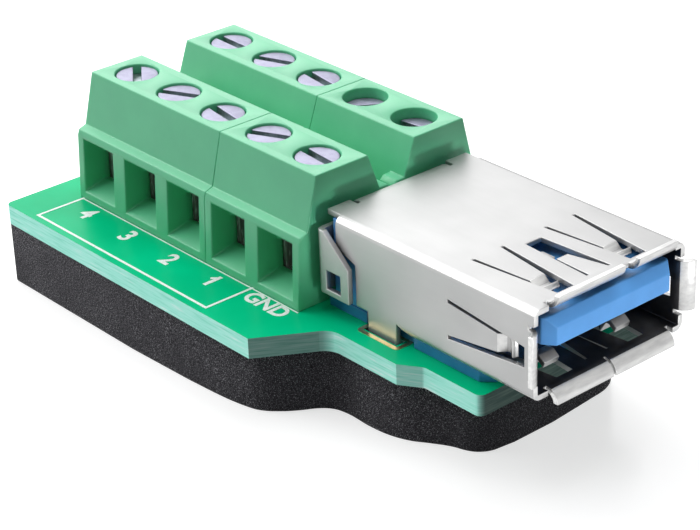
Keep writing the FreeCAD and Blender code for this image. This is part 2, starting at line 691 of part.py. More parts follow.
SLOT_ANGLES = {"near": (-36, 26, -9, 25, -5), "far": (-2, 20, -8, 54, 8)}
TIGHT_SCREWS = {"near": (), "far": (4, 5)}
for side, sign, turn in (("near", "-", 0), ("far", "", FACING_FAR)):
    for number in WAYS:
        middle = f"{REAR} + {way_centre(number)}"
        angles = SLOT_ANGLES[side]
        angle = angles[(number - 1) % len(angles)]
        height = BOARD_TOP
        if number in TIGHT_SCREWS[side]:
            height = f"{BOARD_TOP} - slack_lift"
        screw = clamp_screw(f"{side}_clamp_screw_{number}")
        seat(screw, middle, f"{sign}screw_line", height, angle)
        cage = clamp_cage(f"{side}_clamp_cage_{number}")
        seat(cage, middle, "0", BOARD_TOP, turn)
        contact = solder_contact(f"{side}_solder_contact_{number}")
        seat(contact, middle, "0", BOARD_TOP, turn)
        pieces += [screw, cage, contact]


# Receptacle shell: one stamped and folded tin-plated sheet. The rear flap is folded down and
# its wings wrap the sides, the springs are cut free and pressed in, the lips are flared.

def rolled(angle):
    """A turn about the shell's own length."""
    return FreeCAD.Rotation(FreeCAD.Vector(1, 0, 0), angle)


def put(solid, rotation, along, across, up):
    """Place part of the shell, turned to the wall that it belongs to."""
    solid.Placement = FreeCAD.Placement(FreeCAD.Vector(), rotation)
    bind(solid, "Placement.Base.x", along)
    bind(solid, "Placement.Base.y", across)
    bind(solid, "Placement.Base.z", up)
    return solid


def bent_tongue(name, plan, outer_face, inner_face, place):
    """A tongue cut free from a wall: its outline in the sheet, and its bent faces from the side."""
    flat = slab(name + "_plan", "XY", mirrored(plan), "-shell_height / 2", "shell_sheet")
    side = slab(name + "_side", "XZ", [("-shell_sheet", "0")] + outer_face
                + list(reversed(inner_face)) + [("-shell_sheet", "-shell_sheet")],
                "-window_root", "window_root")
    return put(overlap(name, flat, side), *place)


def shell_spring(name, dip, place):
    """A contact spring that presses on the plug, with the window around it."""
    window = put(slab(name + "_window", "XY", mirrored([
        ("0", "-window_root"),
        ("window_length", "-window_tip"),
    ]), "-shell_sheet * 2", "shell_sheet"), *place)
    heel = "spring_flat + spring_bend"
    tip = f"{heel} + spring_heel + spring_curl"
    tongue = bent_tongue(name, [
        ("-shell_sheet", "-spring_half_root"),
        ("0", "-spring_half_root"),
        ("spring_flat", "-spring_half_bend"),
        (f"{tip} + shell_sheet", "-spring_half_bend"),
    ], [
        ("0", "0"),
        ("spring_flat", "-spring_fall"),
        (heel, f"-{dip}"),
        (f"{heel} + spring_heel", f"-{dip}"),
        (tip, f"-({dip} - spring_curl_rise)"),
    ], [
        ("0", "-shell_sheet"),
        ("spring_flat - bend_shift", "-(spring_fall + shell_sheet)"),
        (f"{heel} - bend_shift", f"-({dip} + shell_sheet)"),
        (f"{heel} + spring_heel + bend_shift", f"-({dip} + shell_sheet)"),
        (f"{tip} + bend_shift", f"-({dip} - spring_curl_rise + shell_sheet)"),
    ], place)
    return window, tongue


def latch_spring(name, place):
    """The short spring between two contact springs, which holds the plug by its window."""
    window = put(slab(name + "_window", "XY", mirrored([
        ("0", "-latch_half"),
        ("latch_window", "-latch_window_rear"),
    ]), "-shell_sheet * 2", "shell_sheet"), *place)
    tongue = bent_tongue(name, [
        ("-shell_sheet", "-latch_root"),
        ("0", "-latch_root"),
        ("latch_length", "-latch_tip"),
    ], [
        ("0", "0"),
        ("latch_length", "-latch_dip"),
    ], [
        ("0", "-shell_sheet"),
        ("latch_length", "-(latch_dip + shell_sheet)"),
    ], place)
    return window, tongue


def flared_lip(name, low, high, place):
    """One lip at the mouth: the wall's end, bent outwards through a right angle."""
    forwards = FreeCAD.Vector(1, 0, 0)
    sideways = FreeCAD.Vector(0, -1, 0)
    down = FreeCAD.Vector(0, 0, -1)
    bend = FreeCAD.Rotation(down, forwards, sideways, "XYZ")
    convex = doc.addObject("Part::Cylinder", name + "_convex_face")
    convex.Angle = 90
    bind(convex, "Radius", "lip_bend + shell_sheet")
    bind(convex, "Height", f"({high}) - ({low})")
    put(convex, bend, "0", high, "lip_bend")
    concave = doc.addObject("Part::Cylinder", name + "_concave_face")
    bind(concave, "Radius", "lip_bend")
    bind(concave, "Height", f"({high}) - ({low}) + shell_sheet * 2")
    put(concave, bend, "0", f"{high} + shell_sheet", "lip_bend")
    return put(without(name, convex, [concave]), *place)


tube = doc.addObject("PartDesign::Body", "shell_tube")
tube_outside = body_sketch(tube, "tube_outside", "YZ_Plane", "wing_room")
oblong(tube_outside, f"-{SHELL_HALF}", "riser_height", SHELL_HALF, SHELL_TOP)
tube_pad = pad(tube, tube_outside, "shell_length - lip_corner_back - wing_room")
doc.recompute()
long_edges = [
    f"Edge{number}" for number, edge in enumerate(tube.Shape.Edges, start=1)
    if abs(edge.Vertexes[0].X - edge.Vertexes[-1].X) > 1
]
rounded(tube, tube_pad, long_edges, "shell_round")
tube_inside = body_sketch(tube, "tube_inside", "YZ_Plane", "shell_length")
INSIDE_HALF = f"({SHELL_HALF} - shell_sheet)"
oblong(tube_inside, f"-{INSIDE_HALF}", SHELL_INNER_FLOOR, INSIDE_HALF,
       f"{SHELL_TOP} - shell_sheet")
pocket(tube, tube_inside, "shell_length")

WIDE = "shell_width"
side_cutouts = slab("side_cutouts", "XZ", [
    ("-shell_sheet", "0"),
    ("cutout_length", "0"),
    ("cutout_length", "riser_height + cutout_height - cutout_slant"),
    ("cutout_length - cutout_run", "riser_height + cutout_height"),
    ("-shell_sheet", "riser_height + cutout_height"),
], f"-{WIDE}", WIDE)
rear_clearance = block("rear_clearance", ("-shell_sheet", f"-{WIDE}", "0"),
                       ("shell_sheet + wing_room", WIDE, "flap_shoulder + wing_room"))
fold_clearance = block("fold_clearance",
                       ("-shell_sheet", "-fold_half - fold_relief", "flap_shoulder"),
                       ("shell_round + fold_relief", "fold_half + fold_relief", "block_height"))
LEG_END = "(leg_start + leg_width)"
floor_clearance = block("floor_clearance", ("-shell_sheet", f"-{WIDE}", "0"),
                        (LEG_END, WIDE, f"{SHELL_INNER_FLOOR} + wing_room / 2"))
floor_cut = block("floor_cut", ("0", f"-{INSIDE_HALF}", "0"),
                  (f"{LEG_END} + leg_notch", INSIDE_HALF, SHELL_INNER_FLOOR))
leg_notches = slab("leg_notches", "XZ", [
    (LEG_END, "0"),
    (f"{LEG_END} + leg_notch", "0"),
    (f"{LEG_END} + leg_notch", "riser_height"),
    (LEG_END, "riser_height + leg_notch_height"),
], f"-{WIDE}", WIDE)
corner_reliefs = [
    block(f"{word}_corner_relief", ("-shell_sheet", low, "riser_height + cutout_height"),
          ("corner_relief", high, f"{SHELL_TOP} + shell_sheet"))
    for word, low, high in (("near", f"-{WIDE}", f"-({SHELL_HALF} - corner_relief_width)"),
                            ("far", f"({SHELL_HALF} - corner_relief_width)", WIDE))
]

SIDE_SPRING_HEIGHT = "riser_height + shell_height / 2 - side_spring_drop"
backwards = FreeCAD.Rotation(FreeCAD.Vector(0, 0, 1), 180)
underneath = FreeCAD.Rotation(FreeCAD.Vector(0, 1, 0), 180)
springs = []
for word, across in (("near", "-spring_line"), ("far", "spring_line")):
    springs.append(shell_spring(f"top_{word}_spring", "spring_dip_top",
                                (rolled(0), "spring_root", across, SHELL_TOP)))
    springs.append(shell_spring(f"bottom_{word}_spring", "spring_dip_bottom",
                                (rolled(180), "spring_root", across, "riser_height")))
for word, across, roll in (("near", f"-{SHELL_HALF}", 90), ("far", SHELL_HALF, -90)):
    springs.append(shell_spring(f"side_{word}_spring", "spring_dip_side",
                                (rolled(roll), "spring_root", across, SIDE_SPRING_HEIGHT)))
springs.append(latch_spring("top_middle_spring", (backwards, "latch_start", "0", SHELL_TOP)))
springs.append(latch_spring("bottom_middle_spring",
                            (underneath, "latch_start", "0", "riser_height")))
latch_tab = block("latch_tab",
                  ("latch_tab_start", "-latch_half", f"{SHELL_TOP} - shell_sheet"),
                  ("latch_tab_start + latch_tab_length", "-latch_tab_reach",
                   f"{SHELL_TOP} - latch_tab_drop"))

LIP_START = "(shell_length - lip_bend - shell_sheet)"
SIDE_LIP_HEIGHT = "(riser_height + shell_height / 2)"
mouth_cuts = [
    block("upper_mouth_cut",
          (LIP_START, "-(lip_near + lip_notch)", f"{SHELL_TOP} - shell_sheet * 2"),
          ("shell_length", "lip_far + lip_notch", f"{SHELL_TOP} + shell_sheet")),
    block("lower_mouth_cut",
          (LIP_START, "-(lip_near + lip_notch)", "0"),
          ("shell_length", "lip_far + lip_notch", "riser_height + shell_sheet * 2")),
    block("side_mouth_cut",
          (LIP_START, f"-{WIDE}", f"{SIDE_LIP_HEIGHT} - lip_side_half - lip_notch"),
          ("shell_length", WIDE, f"{SIDE_LIP_HEIGHT} + lip_side_half + lip_notch")),
]
opened = without("opened_tube", tube, [
    side_cutouts, rear_clearance, fold_clearance, floor_clearance, floor_cut, leg_notches,
] + corner_reliefs + mouth_cuts + [window for window, spring in springs])

WING_HALF = f"({SHELL_HALF} + wing_room + shell_sheet)"
wrap = slab("flap_wrap", "XY", mirrored([
    ("wing_length", f"-{WING_HALF}"),
    ("shell_sheet", f"-{WING_HALF}"),
    ("wrap_chamfer", f"-({WING_HALF} - wrap_chamfer)"),
    ("0", f"-({WING_HALF} - shell_sheet)"),
]) + mirrored([
    ("wing_length", f"({WING_HALF} - shell_sheet)"),
    ("shell_sheet", f"({WING_HALF} - shell_sheet)"),
]), "flap_foot", "flap_shoulder")
wing_tops = slab("wing_tops", "XZ", [
    ("wing_slant", "flap_shoulder + shell_sheet"),
    ("wing_slant", "flap_shoulder"),
    ("wing_length", "flap_foot + wing_front"),
    ("wing_length * 2", "flap_foot + wing_front"),
    ("wing_length * 2", "flap_shoulder + shell_sheet"),
], f"-{WIDE}", WIDE)
WING_HOLE_FOOT = "(flap_foot + wing_hole_rise)"
wing_holes = block("wing_holes", ("wing_hole_start", f"-{WIDE}", WING_HOLE_FOOT),
                   ("wing_hole_start + wing_hole", WIDE, f"{WING_HOLE_FOOT} + wing_hole"))
wings = without("flap_and_wings", wrap, [wing_tops, wing_holes])
fold = slab("flap_fold", "XZ", [
    ("0", "flap_shoulder - shell_sheet"),
    ("shell_sheet", "flap_shoulder - shell_sheet"),
    ("shell_sheet", f"{SHELL_TOP} - shell_round"),
    ("shell_round", f"{SHELL_TOP} - shell_sheet"),
    ("fold_length", f"{SHELL_TOP} - shell_sheet"),
    ("fold_length", SHELL_TOP),
    ("shell_round", SHELL_TOP),
    ("shell_round / 4", f"{SHELL_TOP} - shell_round / 4"),
    ("0", f"{SHELL_TOP} - shell_round"),
], "-fold_half", "fold_half")
legs = []
for word, low, high in (("near", f"-{SHELL_HALF}", f"-{INSIDE_HALF}"),
                        ("far", INSIDE_HALF, SHELL_HALF)):
    legs.append(slab(f"{word}_leg", "XZ", [
        ("leg_start", f"{SHELL_INNER_FLOOR} + leg_root"),
        ("leg_start", "-board_thickness"),
        ("leg_start + leg_taper", "-board_thickness - leg_reach"),
        (f"{LEG_END} - leg_taper", "-board_thickness - leg_reach"),
        (LEG_END, "-board_thickness"),
        (LEG_END, f"{SHELL_INNER_FLOOR} + leg_root"),
    ], low, high))
lips = []
for word, low, high, place in (
    ("upper_near", "-lip_near", "lip_part_from", (rolled(0), LIP_START, "0", SHELL_TOP)),
    ("upper_far", "lip_part_to", "lip_far", (rolled(0), LIP_START, "0", SHELL_TOP)),
    ("lower_near", "lip_seam", "lip_near", (rolled(180), LIP_START, "0", "riser_height")),
    ("lower_far", "-lip_far", "-lip_seam", (rolled(180), LIP_START, "0", "riser_height")),
    ("side_near", "-lip_side_half", "lip_side_half",
     (rolled(90), LIP_START, f"-{SHELL_HALF}", SIDE_LIP_HEIGHT)),
    ("side_far", "-lip_side_half", "lip_side_half",
     (rolled(-90), LIP_START, SHELL_HALF, SIDE_LIP_HEIGHT)),
):
    lips.append(flared_lip(f"{word}_lip", low, high, place))
shell_parts = [opened, wings, fold, latch_tab] + legs + lips
shell_parts += [spring for window, spring in springs]
shell = joined("usb_shell", shell_parts)
seat(shell, f"{REAR} + {RECEPTACLE_START}", "0", BOARD_TOP)
pieces.append(shell)


# Receptacle contacts: five flat strips moulded into the tongue, and four sprung ones that bow
# down from its underside. Their tails go down through the board.

def contact_strip(name, corners, across):
    strip = slab(name, "XZ", corners, f"{across} - strip_width / 2",
                 f"{across} + strip_width / 2")
    seat(strip, f"{REAR} + {RECEPTACLE_START}", "0", BOARD_TOP)
    pieces.append(strip)
    return strip


TAIL_END = "-board_thickness - pin_reach"
TONGUE_TIP = "(shell_length - tongue_setback)"
PAD_FRONT = f"({TONGUE_TIP} - flat_pad_setback)"
PAD_REAR = f"({PAD_FRONT} - flat_pad)"
LEVEL = "(tongue_height + flat_level)"
strips = []
for number, across in enumerate(flat_places, start=1):
    strips.append(contact_strip(f"usb_flat_contact_{number}", [
        ("flat_tail - strip / 2", TAIL_END),
        ("flat_tail + strip / 2", TAIL_END),
        ("flat_tail + strip / 2", LEVEL),
        (PAD_REAR, LEVEL),
        (PAD_REAR, "tongue_height"),
        (PAD_FRONT, "tongue_height"),
        (PAD_FRONT, "tongue_height + strip"),
        (f"{PAD_REAR} + strip", "tongue_height + strip"),
        (f"{PAD_REAR} + strip", f"{LEVEL} + strip"),
        ("flat_tail - strip / 2", f"{LEVEL} + strip"),
    ], across))
SPRUNG_TOP = "(tongue_height - sprung_gap)"
BOW_START = "(core_start + core_length + shell_sheet * 2)"
for number, across in enumerate(sprung_places, start=1):
    strips.append(contact_strip(f"usb_sprung_contact_{number}", [
        ("sprung_tail - strip / 2", TAIL_END),
        ("sprung_tail + strip / 2", TAIL_END),
        ("sprung_tail + strip / 2", f"{SPRUNG_TOP} - strip"),
        (BOW_START, f"{SPRUNG_TOP} - strip"),
        ("sprung_bow_place", f"{SPRUNG_TOP} - strip - sprung_bow"),
        ("sprung_bow_place + strip * 4", f"{SPRUNG_TOP} - strip - sprung_bow / 3"),
        ("sprung_bow_place + strip * 4", f"{SPRUNG_TOP} - sprung_bow / 3"),
        ("sprung_bow_place", f"{SPRUNG_TOP} - sprung_bow"),
        (BOW_START, SPRUNG_TOP),
        ("sprung_tail - strip / 2", SPRUNG_TOP),
    ], across))

# Receptacle insulator: blue plastic moulded round the contacts. Its foot fills the rear of the
# shell, and its tongue reaches forward to the mouth.

CORE_END = "(core_start + core_length)"
core_foot = block("core_foot_block",
                  ("core_start", f"-({INSIDE_HALF} - core_clearance)", "riser_height"),
                  ("core_start + core_foot", f"({INSIDE_HALF} - core_clearance)",
                   f"{SHELL_TOP} - shell_sheet - core_clearance"))
core_front = block("core_front_block",
                   ("core_start", f"-({INSIDE_HALF} - core_clearance)",
                    f"{SHELL_INNER_FLOOR} + core_clearance"),
                   (CORE_END, f"({INSIDE_HALF} - core_clearance)",
                    f"{SHELL_TOP} - shell_sheet - core_clearance"))
TONGUE_TOP = "(tongue_height + tongue_thickness)"
TONGUE_HALF = f"({INSIDE_HALF} - tongue_margin)"
tongue_side = slab("tongue_side", "XZ", [
    ("core_start + core_foot", "tongue_height"),
    (TONGUE_TIP, "tongue_height"),
    (TONGUE_TIP, f"{TONGUE_TOP} - tongue_lead"),
    (f"{TONGUE_TIP} - tongue_lead", TONGUE_TOP),
    ("core_start + core_foot", TONGUE_TOP),
], f"-{TONGUE_HALF}", TONGUE_HALF)
tongue_plan = slab("tongue_plan", "XY", mirrored([
    ("core_start + core_foot", f"-{TONGUE_HALF}"),
    (f"{TONGUE_TIP} - tongue_corner", f"-{TONGUE_HALF}"),
    (TONGUE_TIP, f"-({TONGUE_HALF} - tongue_corner_width)"),
]), "0", SHELL_TOP)
tongue = overlap("receptacle_tongue", tongue_plan, tongue_side)
core_solid = joined("core_solid", [core_foot, core_front, tongue])
doc.recompute()
core = doc.addObject("Part::Feature", "usb_insulator")
core_shape = core_solid.Shape.copy()
for strip in strips:
    pattern = strip.Shape.copy()
    pattern.Placement = FreeCAD.Placement()
    core_shape = core_shape.cut(pattern)
core.Shape = core_shape
seat(core, f"{REAR} + {RECEPTACLE_START}", "0", BOARD_TOP)
pieces.append(core)

# Riser: blue plastic frame between the board and the shell, open around the contact tails and
# let in beside the legs.

RISER_HALF = f"({SHELL_HALF} - riser_inset)"
RISER_END = "(riser_start + riser_length)"
riser_solid = slab("riser_solid", "XY", mirrored([
    ("riser_start", f"-{RISER_HALF}"),
    ("leg_start - riser_relief_room", f"-{RISER_HALF}"),
    ("leg_start - riser_relief_room", f"-({RISER_HALF} - riser_relief)"),
    (f"{LEG_END} + riser_relief_room * 2", f"-({RISER_HALF} - riser_relief)"),
    (f"{LEG_END} + riser_relief_room * 2", f"-{RISER_HALF}"),
    (f"{RISER_END} - riser_corner", f"-{RISER_HALF}"),
    (RISER_END, f"-({RISER_HALF} - riser_corner)"),
]), "0", "riser_height")
TAIL_HALF = f"({FLAT_REACH} + strip_width / 2 + riser_wall)"
tail_window = block("tail_window",
                    ("flat_tail - strip / 2 - riser_wall", f"-{TAIL_HALF}", "-riser_height"),
                    ("sprung_tail + strip / 2 + riser_wall", TAIL_HALF, "riser_height * 2"))
riser = without("usb_riser", riser_solid, [tail_window])
seat(riser, f"{REAR} + {RECEPTACLE_START}", "0", BOARD_TOP)
pieces.append(riser)

doc.recompute()
for item in doc.Objects:
    if "Invalid" in item.State or "Error" in item.State:
        raise RuntimeError(f"{item.Label} could not be built")
for piece in pieces:
    if piece.Shape.isNull() or not piece.Shape.isValid() or len(piece.Shape.Solids) != 1:
        raise RuntimeError(f"{piece.Label} is not one sound solid")

os.makedirs("parts", exist_ok=True)
for piece in pieces:
    piece.Shape.exportStep(f"parts/{piece.Label}.step")
print(f"{len(pieces)} pieces written")
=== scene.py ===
import bpy
import json
from math import cos, radians, sin
from mathutils import Matrix, Vector

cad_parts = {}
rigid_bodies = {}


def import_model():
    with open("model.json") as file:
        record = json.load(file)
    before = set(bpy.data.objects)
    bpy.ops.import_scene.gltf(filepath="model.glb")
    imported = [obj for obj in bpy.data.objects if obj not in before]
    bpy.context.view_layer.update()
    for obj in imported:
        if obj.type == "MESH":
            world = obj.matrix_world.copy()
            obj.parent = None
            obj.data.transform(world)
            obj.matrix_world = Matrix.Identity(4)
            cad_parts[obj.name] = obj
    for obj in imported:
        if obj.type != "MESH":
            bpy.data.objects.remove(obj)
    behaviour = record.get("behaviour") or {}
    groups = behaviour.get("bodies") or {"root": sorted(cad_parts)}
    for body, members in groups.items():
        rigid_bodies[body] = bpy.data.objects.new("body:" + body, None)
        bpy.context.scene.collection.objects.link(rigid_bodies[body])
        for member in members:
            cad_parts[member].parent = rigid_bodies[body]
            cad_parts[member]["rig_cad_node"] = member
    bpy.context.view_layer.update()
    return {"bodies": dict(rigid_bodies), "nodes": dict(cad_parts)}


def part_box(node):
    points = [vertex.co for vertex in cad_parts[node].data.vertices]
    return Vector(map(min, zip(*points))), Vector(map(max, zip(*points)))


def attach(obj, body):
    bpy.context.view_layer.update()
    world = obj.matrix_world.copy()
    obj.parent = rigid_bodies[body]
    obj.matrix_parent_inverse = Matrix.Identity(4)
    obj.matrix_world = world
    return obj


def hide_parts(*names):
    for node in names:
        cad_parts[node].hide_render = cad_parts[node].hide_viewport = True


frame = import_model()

# The view: the adapter stands on its pad with the near row of terminals to the left and the
# open mouth of the receptacle to the right, seen from above through a long lens.
mm = 0.001
view_azimuth = radians(49.818)
view_height = radians(27.320)
view_roll = radians(-2.023)
view_distance = 161.95 * mm
view_target = Vector((-4.275, 2.813, 2.759)) * mm
ahead = Vector((
    -sin(view_azimuth) * cos(view_height), cos(view_azimuth) * cos(view_height),
    -sin(view_height)))
level = Vector((cos(view_azimuth), sin(view_azimuth), 0))
upright = level.cross(ahead)
across_picture = level * cos(view_roll) + upright * sin(view_roll)
up_picture = upright * cos(view_roll) - level * sin(view_roll)
bpy.ops.object.camera_add()
camera = bpy.context.active_object
camera.name = "camera"
turn = Matrix((across_picture, up_picture, -ahead)).transposed()
camera.matrix_world = Matrix.Translation(view_target - ahead * view_distance) @ turn.to_4x4()
camera.data.sensor_width = 36
camera.data.lens = 115.78
camera.data.clip_start = 0.01
bpy.context.scene.camera = camera
bpy.context.scene.view_settings.view_transform = "Standard"

# The studio: a seamless white surround and three broad soft boxes, overhead, at the left front
# and low behind on the left, with a small gridded lamp that looks into the mouth. The floor is
# pale and a little glossy, so that it keeps a soft shadow and a faint reflection.
bpy.ops.mesh.primitive_plane_add(size=3)
floor = bpy.context.active_object
floor.name = "floor"
floor_paint = bpy.data.materials.new("pale_floor")
floor_paint.use_nodes = True
floor_tree = floor_paint.node_tree
floor_tree.nodes.clear()
floor_out = floor_tree.nodes.new("ShaderNodeOutputMaterial")
floor_plain = floor_tree.nodes.new("ShaderNodeBsdfPrincipled")
floor_plain.inputs["Base Color"].default_value = (0.15, 0.15, 0.15, 1)
floor_plain.inputs["Roughness"].default_value = 0.5
floor_seen = floor_tree.nodes.new("ShaderNodeBsdfPrincipled")
floor_seen.inputs["Base Color"].default_value = (0.5, 0.5, 0.5, 1)
floor_seen.inputs["Roughness"].default_value = 0.22
floor_seen.inputs["Emission Color"].default_value = (1, 1, 1, 1)
floor_seen.inputs["Emission Strength"].default_value = 0.68
floor_ray = floor_tree.nodes.new("ShaderNodeLightPath")
floor_either = floor_tree.nodes.new("ShaderNodeMath")
floor_either.operation = "MAXIMUM"
floor_mix = floor_tree.nodes.new("ShaderNodeMixShader")
floor_tree.links.new(floor_ray.outputs["Is Camera Ray"], floor_either.inputs[0])
floor_tree.links.new(floor_ray.outputs["Is Glossy Ray"], floor_either.inputs[1])
floor_tree.links.new(floor_either.outputs[0], floor_mix.inputs["Fac"])
floor_tree.links.new(floor_plain.outputs["BSDF"], floor_mix.inputs[1])
floor_tree.links.new(floor_seen.outputs["BSDF"], floor_mix.inputs[2])
floor_tree.links.new(floor_mix.outputs["Shader"], floor_out.inputs["Surface"])
floor.data.materials.append(floor_paint)

world = bpy.data.worlds.new("studio")
bpy.context.scene.world = world
world.use_nodes = True
sky = world.node_tree
sky.nodes.clear()
sky_out = sky.nodes.new("ShaderNodeOutputWorld")
sky_light = sky.nodes.new("ShaderNodeBackground")
sky_light.inputs["Color"].default_value = (0.93, 0.96, 1.0, 1)
sky_light.inputs["Strength"].default_value = 0.12
sky_seen = sky.nodes.new("ShaderNodeBackground")
sky_seen.inputs["Strength"].default_value = 1.0
sky_ray = sky.nodes.new("ShaderNodeLightPath")
sky_either = sky.nodes.new("ShaderNodeMath")
sky_either.operation = "MAXIMUM"
sky_any = sky.nodes.new("ShaderNodeMath")
sky_any.operation = "MAXIMUM"
sky_mix = sky.nodes.new("ShaderNodeMixShader")
sky.links.new(sky_ray.outputs["Is Camera Ray"], sky_either.inputs[0])
sky.links.new(sky_ray.outputs["Is Glossy Ray"], sky_either.inputs[1])
sky.links.new(sky_either.outputs[0], sky_any.inputs[0])
sky.links.new(sky_ray.outputs["Is Transmission Ray"], sky_any.inputs[1])
sky.links.new(sky_any.outputs[0], sky_mix.inputs["Fac"])
sky.links.new(sky_light.outputs["Background"], sky_mix.inputs[1])
sky.links.new(sky_seen.outputs["Background"], sky_mix.inputs[2])
sky.links.new(sky_mix.outputs["Shader"], sky_out.inputs["Surface"])


def soft_box(name, place, aim, width, power):
    """A square studio lamp that points from its place at a spot on the adapter."""
    bpy.ops.object.light_add(type="AREA", location=place)
    lamp = bpy.context.active_object
    lamp.name = name
    lamp.data.size = width
    lamp.data.energy = power
    lamp.rotation_euler = (Vector(aim) - Vector(place)).to_track_quat("-Z", "Y").to_euler()
    return lamp


soft_box("overhead_lamp", (-0.05, 0.05, 0.45), (0, 0, 0.01), 0.4, 1.15)
soft_box("left_lamp", (-0.3, -0.2, 0.26), (0, 0, 0.01), 0.3, 1.2)
soft_box("rear_lamp", (-0.307, 0.143, 0.222), (0, 0, 0.01), 0.3, 0.68)
mouth_lamp = soft_box("mouth_lamp", (0.17, 0, 0.0108), (0.024, 0, 0.0108), 0.016, 0.0002)
mouth_lamp.data.shape = "RECTANGLE"
mouth_lamp.data.size_y = 0.004
mouth_lamp.data.spread = radians(3)

# The foam pad: closed-cell black foam, die-cut and stuck to the underside of the board. Its cut
# sides show burst cells, its corners are rounded, and it has given way round the solder pins.
pad_low, pad_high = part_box("foam_pad")
pad_edge = [
    (-24.05, -12.9), (-23.8, -13.08), (-9.3, -13.08), (-3.2, -12.85), (2.5, -12.2),
    (3.4, -11.85), (4.4, -11.0), (5.2, -10.0), (5.9, -8.9), (6.5, -8.35), (7.2, -8.08),
    (10.2, -8.0), (11.7, -7.8), (13.1, -7.3), (14.2, -6.6), (15.4, -5.9), (16.7, -5.4),
    (17.3, -4.9), (17.7, -4.1), (17.9, -2.5), (17.9, 1.0), (17.6, 4.7), (17.2, 7.0),
    (16.5, 7.85), (15.0, 8.0), (7.2, 8.08), (6.5, 8.35), (5.9, 8.9), (5.2, 10.0),
    (4.4, 11.0), (3.4, 11.85), (2.5, 12.2), (-3.2, 12.85), (-9.3, 13.08), (-23.8, 13.08),
    (-24.05, 12.9),
]
pad_straights = {1, 2, 18, 19, 20, 33, 34, 35}
pad_round = 0.12 * mm


def new_finish(name):
    """An empty finish: material, node tree, shader and the object's own coordinates."""
    material = bpy.data.materials.new(name)
    material.use_nodes = True
    tree = material.node_tree
    shader = tree.nodes["Principled BSDF"]
    place = tree.nodes.new("ShaderNodeTexCoord").outputs["Object"]
    return material, tree, shader, place


def mottle(tree, place, size, detail=3.0, stretch=(1, 1, 1)):
    """A cloudy pattern whose patches are about this size, in metres."""
    mapping = tree.nodes.new("ShaderNodeMapping")
    mapping.inputs["Scale"].default_value = stretch
    tree.links.new(place, mapping.inputs["Vector"])
    noise = tree.nodes.new("ShaderNodeTexNoise")
    noise.inputs["Scale"].default_value = 1 / size
    noise.inputs["Detail"].default_value = detail
    tree.links.new(mapping.outputs["Vector"], noise.inputs["Vector"])
    return noise.outputs["Fac"]


def tones(tree, level, steps):
    """Colours chosen by a pattern's level: pairs of level and colour."""
    ramp = tree.nodes.new("ShaderNodeValToRGB")
    while len(ramp.color_ramp.elements) < len(steps):
        ramp.color_ramp.elements.new(0.5)
    for element, (stop, colour) in zip(ramp.color_ramp.elements, steps):
        element.position = stop
        element.color = (*colour, 1)
    tree.links.new(level, ramp.inputs["Fac"])
    return ramp.outputs["Color"]


def mixed(tree, first, second, way="MIX", level=None):
    """Two colours made one: mixed by a level, or added or multiplied in full."""
    mix = tree.nodes.new("ShaderNodeMix")
    mix.data_type = "RGBA"
    mix.blend_type = way
    if level is None:
        mix.inputs["Factor"].default_value = 1
    else:
        tree.links.new(level, mix.inputs["Factor"])
    for socket, colour in (("A", first), ("B", second)):
        entry = next(item for item in mix.inputs if item.name == socket and item.type == "RGBA")
        tree.links.new(colour, entry)
    return next(item for item in mix.outputs if item.type == "RGBA")


def relief(tree, shader, level, height):
    """Raise the surface where a pattern is bright, by up to this height in metres."""
    bump = tree.nodes.new("ShaderNodeBump")
    bump.inputs["Distance"].default_value = height
    bump.inputs["Strength"].default_value = 1.0
    tree.links.new(level, bump.inputs["Height"])
    tree.links.new(bump.outputs["Normal"], shader.inputs["Normal"])


def satin(tree, shader, level, smooth, rough):
    """Roughness that wanders between two values with a pattern."""
    span = tree.nodes.new("ShaderNodeMapRange")
    span.inputs["To Min"].default_value = smooth
    span.inputs["To Max"].default_value = rough
    tree.links.new(level, span.inputs["Value"])
    tree.links.new(span.outputs["Result"], shader.inputs["Roughness"])


def only(piece):
    """Select one piece and nothing else."""
    bpy.ops.object.select_all(action="DESELECT")
    piece.select_set(True)
    bpy.context.view_layer.objects.active = piece


def carved(piece, boxes):
    """Cut boxes out of a piece, each given by its two opposite corners."""
    for low, high in boxes:
        bpy.ops.mesh.primitive_cube_add(size=1, location=(Vector(low) + Vector(high)) / 2)
        cutter = bpy.context.active_object
        cutter.scale = Vector(high) - Vector(low)
        bpy.ops.object.transform_apply(location=True, rotation=True, scale=True)
        only(piece)
        cut = piece.modifiers.new("cut", "BOOLEAN")
        cut.operation = "DIFFERENCE"
        cut.solver = "EXACT"
        cut.object = cutter
        bpy.ops.object.modifier_apply(modifier=cut.name)
        bpy.data.objects.remove(cutter)


pad_curve = bpy.data.curves.new("pad_outline", "CURVE")
pad_curve.dimensions = "2D"
pad_curve.fill_mode = "BOTH"
pad_curve.resolution_u = 8
pad_curve.bevel_depth = pad_round
pad_curve.bevel_resolution = 2
pad_curve.offset = -pad_round
pad_curve.extrude = (pad_high.z - pad_low.z) / 2 - pad_round
pad_spline = pad_curve.splines.new("BEZIER")
pad_spline.use_cyclic_u = True
pad_spline.bezier_points.add(len(pad_edge) - 1)
for point, (along, across) in zip(pad_spline.bezier_points, pad_edge):
    point.co = Vector((along * mm, across * mm, 0))
    point.handle_left_type = "AUTO"
    point.handle_right_type = "AUTO"
for number in pad_straights:
    pad_spline.bezier_points[number].handle_right_type = "VECTOR"
    pad_spline.bezier_points[(number + 1) % len(pad_edge)].handle_left_type = "VECTOR"
pad = bpy.data.objects.new("foam_pad_cut", pad_curve)
bpy.context.collection.objects.link(pad)
pad.location.z = (pad_high.z + pad_low.z) / 2
only(pad)
bpy.ops.object.convert(target="MESH")
bpy.ops.object.transform_apply(location=True, rotation=True, scale=True)
bpy.ops.object.mode_set(mode="EDIT")
bpy.ops.mesh.select_all(action="SELECT")
